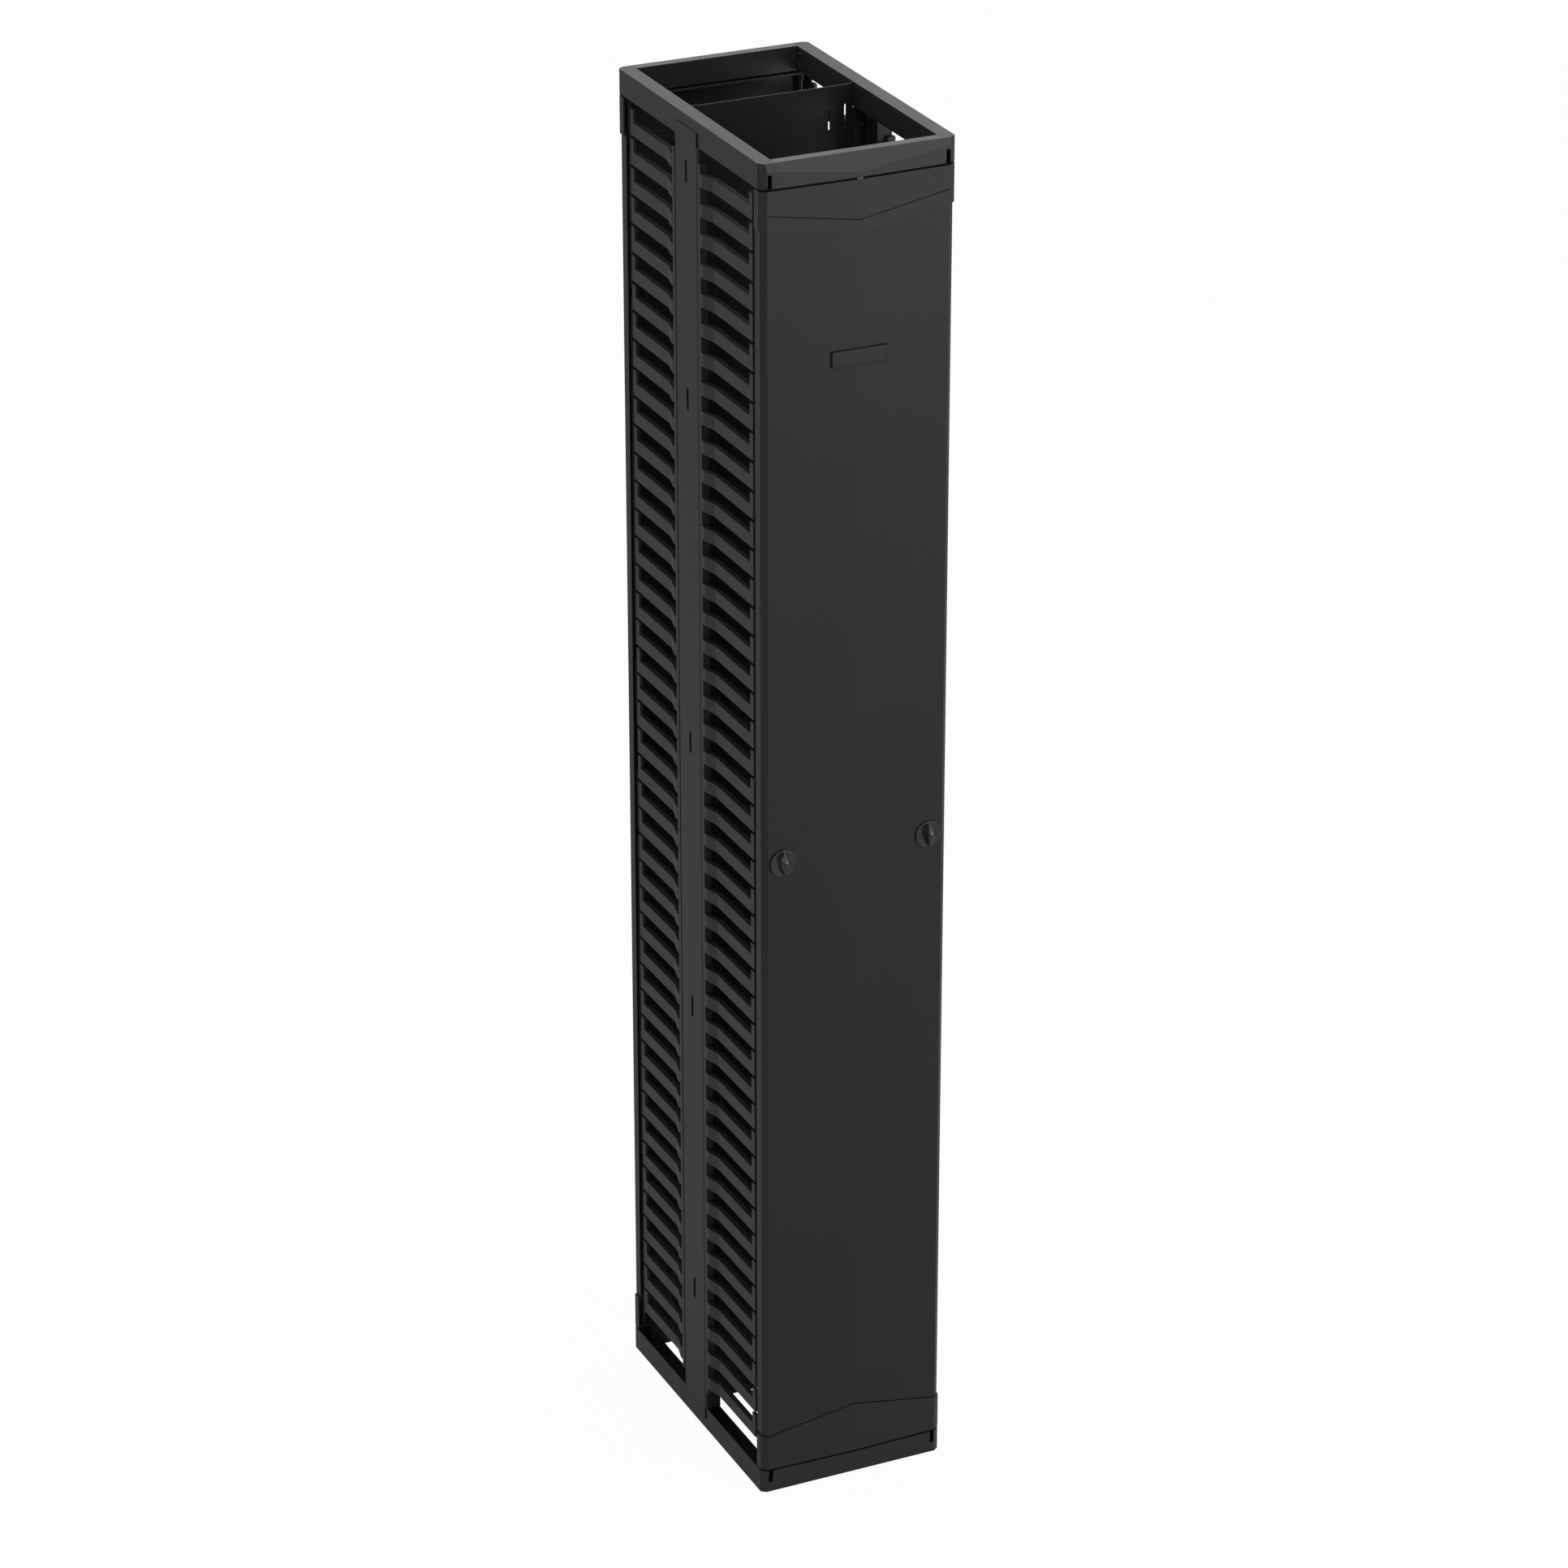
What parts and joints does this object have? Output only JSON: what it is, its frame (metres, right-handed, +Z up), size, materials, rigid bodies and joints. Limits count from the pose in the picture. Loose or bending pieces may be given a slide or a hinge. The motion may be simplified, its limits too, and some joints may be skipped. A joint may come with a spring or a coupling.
{
  "type": "vertical cable manager",
  "caption": "Tall open cable manager with a centre panel, cable fingers along both sides, and a dual-hinged door front and rear, each with a pair of turn knobs.",
  "frame": {"origin": "on the floor under the middle of the frame", "axes": "+Z up along the height, +X across the width to the right seen from the front, and the front door faces -Y"},
  "size_m": [0.3052, 0.5254, 2.127],
  "materials": {
    "frame_coat": "fine satin powder coat, charcoal",
    "panel_coat": "fine satin powder coat, near black",
    "door_coat": "fine satin powder coat, dark charcoal",
    "cap_moulding": "fine-grained moulded plastic, charcoal",
    "fascia_moulding": "fine-grained moulded plastic, charcoal",
    "finger_moulding": "smooth moulded plastic, charcoal",
    "black_moulding": "moulded nylon, black",
    "knob": "semi-gloss moulded plastic, charcoal",
    "latch_steel": "black-passivated zinc-plated steel",
    "washer": "nylon, black",
    "badge": "blank plate, black",
    "screw": "black oxide steel"
  },
  "bodies": {
    "frame": {"top_left_beam": "frame_coat", "top_right_beam": "frame_coat", "base_left_beam": "frame_coat", "base_right_beam": "frame_coat", "top_front_fascia": "fascia_moulding", "top_rear_fascia": "fascia_moulding", "base_front_fascia": "fascia_moulding", "base_rear_fascia": "fascia_moulding", "left_post": "frame_coat", "right_post": "frame_coat", "centre_panel": "panel_coat", "left_front_finger_rail": "finger_moulding", "left_front_fingers": "finger_moulding", "left_rear_finger_rail": "finger_moulding", "left_rear_fingers": "finger_moulding", "right_front_finger_rail": "finger_moulding", "right_front_fingers": "finger_moulding", "right_rear_finger_rail": "finger_moulding", "right_rear_fingers": "finger_moulding", "top_pin_sockets": "black_moulding", "base_pin_sockets": "black_moulding", "fascia_screws": "screw", "panel_screws": "screw", "rail_screws": "screw"},
    "front_washer_pair": {"front_right_washers": "washer"},
    "front_left_knob": {"front_left_knob": "knob", "front_left_pinion": "latch_steel"},
    "front_left_upper_rod": {"front_left_upper_rod": "latch_steel"},
    "front_left_lower_rod": {"front_left_lower_rod": "latch_steel"},
    "front_right_knob": {"front_right_knob": "knob", "front_right_pinion": "latch_steel"},
    "front_right_upper_rod": {"front_right_upper_rod": "latch_steel"},
    "front_right_lower_rod": {"front_right_lower_rod": "latch_steel"},
    "front_door": {"front_badge_plate": "badge", "front_door_panel": "door_coat", "front_door_top_cap": "cap_moulding", "front_door_bottom_cap": "cap_moulding", "front_rod_guides": "black_moulding", "front_left_washers": "washer", "front_left_latch_body": "black_moulding", "front_right_latch_body": "black_moulding"},
    "rear_washer_pair": {"rear_left_washers": "washer"},
    "rear_left_knob": {"rear_left_knob": "knob", "rear_left_pinion": "latch_steel"},
    "rear_left_upper_rod": {"rear_left_upper_rod": "latch_steel"},
    "rear_left_lower_rod": {"rear_left_lower_rod": "latch_steel"},
    "rear_right_knob": {"rear_right_knob": "knob", "rear_right_pinion": "latch_steel"},
    "rear_right_upper_rod": {"rear_right_upper_rod": "latch_steel"},
    "rear_right_lower_rod": {"rear_right_lower_rod": "latch_steel"},
    "rear_door": {"rear_door_panel": "door_coat", "rear_door_top_cap": "cap_moulding", "rear_door_bottom_cap": "cap_moulding", "rear_rod_guides": "black_moulding", "rear_right_washers": "washer", "rear_left_latch_body": "black_moulding", "rear_right_latch_body": "black_moulding"}
  },
  "joints": [
    {"name": "front_left_hinge", "type": "hinge", "parent": "frame", "child": "front_washer_pair", "pos_m": [-0.137, -0.236, 0], "axis": [0, 0, -1], "range_deg": [0, 130]},
    {"name": "front_right_hinge", "type": "hinge", "parent": "front_washer_pair", "child": "front_door", "pos_m": [0.137, -0.236, 0], "axis": [0, 0, 1], "range_deg": [0, 130]},
    {"name": "front_left_upper_rod_slide", "type": "slide", "parent": "front_door", "child": "front_left_upper_rod", "axis": [0, 0, -1], "range_m": [0, 0.01257]},
    {"name": "front_left_lower_rod_slide", "type": "slide", "parent": "front_door", "child": "front_left_lower_rod", "axis": [0, 0, 1], "range_m": [0, 0.0127]},
    {"name": "front_left_knob_turn", "type": "hinge", "parent": "front_door", "child": "front_left_knob", "pos_m": [-0.117, -0.236, 1.0635], "axis": [0, -1, 0], "range_deg": [0, 90.5]},
    {"name": "front_right_upper_rod_slide", "type": "slide", "parent": "front_door", "child": "front_right_upper_rod", "axis": [0, 0, -1], "range_m": [0, 0.01257]},
    {"name": "front_right_lower_rod_slide", "type": "slide", "parent": "front_door", "child": "front_right_lower_rod", "axis": [0, 0, 1], "range_m": [0, 0.0127]},
    {"name": "front_right_knob_turn", "type": "hinge", "parent": "front_door", "child": "front_right_knob", "pos_m": [0.117, -0.236, 1.0635], "axis": [0, 1, 0], "range_deg": [0, 90.5]},
    {"name": "rear_right_hinge", "type": "hinge", "parent": "frame", "child": "rear_washer_pair", "pos_m": [0.137, 0.236, 0], "axis": [0, 0, -1], "range_deg": [0, 130]},
    {"name": "rear_left_hinge", "type": "hinge", "parent": "rear_washer_pair", "child": "rear_door", "pos_m": [-0.137, 0.236, 0], "axis": [0, 0, 1], "range_deg": [0, 130]},
    {"name": "rear_left_upper_rod_slide", "type": "slide", "parent": "rear_door", "child": "rear_left_upper_rod", "axis": [0, 0, -1], "range_m": [0, 0.01257]},
    {"name": "rear_left_lower_rod_slide", "type": "slide", "parent": "rear_door", "child": "rear_left_lower_rod", "axis": [0, 0, 1], "range_m": [0, 0.0127]},
    {"name": "rear_left_knob_turn", "type": "hinge", "parent": "rear_door", "child": "rear_left_knob", "pos_m": [-0.117, 0.236, 1.0635], "axis": [0, -1, 0], "range_deg": [0, 90.5]},
    {"name": "rear_right_upper_rod_slide", "type": "slide", "parent": "rear_door", "child": "rear_right_upper_rod", "axis": [0, 0, -1], "range_m": [0, 0.01257]},
    {"name": "rear_right_lower_rod_slide", "type": "slide", "parent": "rear_door", "child": "rear_right_lower_rod", "axis": [0, 0, 1], "range_m": [0, 0.0127]},
    {"name": "rear_right_knob_turn", "type": "hinge", "parent": "rear_door", "child": "rear_right_knob", "pos_m": [0.117, 0.236, 1.0635], "axis": [0, 1, 0], "range_deg": [0, 90.5]}
  ],
  "couplings": [
    {"joint": "front_left_knob_turn", "follows": "front_left_upper_rod_slide", "rad_per_m": 125},
    {"joint": "front_left_lower_rod_slide", "follows": "front_left_upper_rod_slide", "ratio": 1},
    {"joint": "front_right_knob_turn", "follows": "front_right_upper_rod_slide", "rad_per_m": 125},
    {"joint": "front_right_lower_rod_slide", "follows": "front_right_upper_rod_slide", "ratio": 1},
    {"joint": "rear_left_knob_turn", "follows": "rear_left_upper_rod_slide", "rad_per_m": 125},
    {"joint": "rear_left_lower_rod_slide", "follows": "rear_left_upper_rod_slide", "ratio": 1},
    {"joint": "rear_right_knob_turn", "follows": "rear_right_upper_rod_slide", "rad_per_m": 125},
    {"joint": "rear_right_lower_rod_slide", "follows": "rear_right_upper_rod_slide", "ratio": 1}
  ]
}
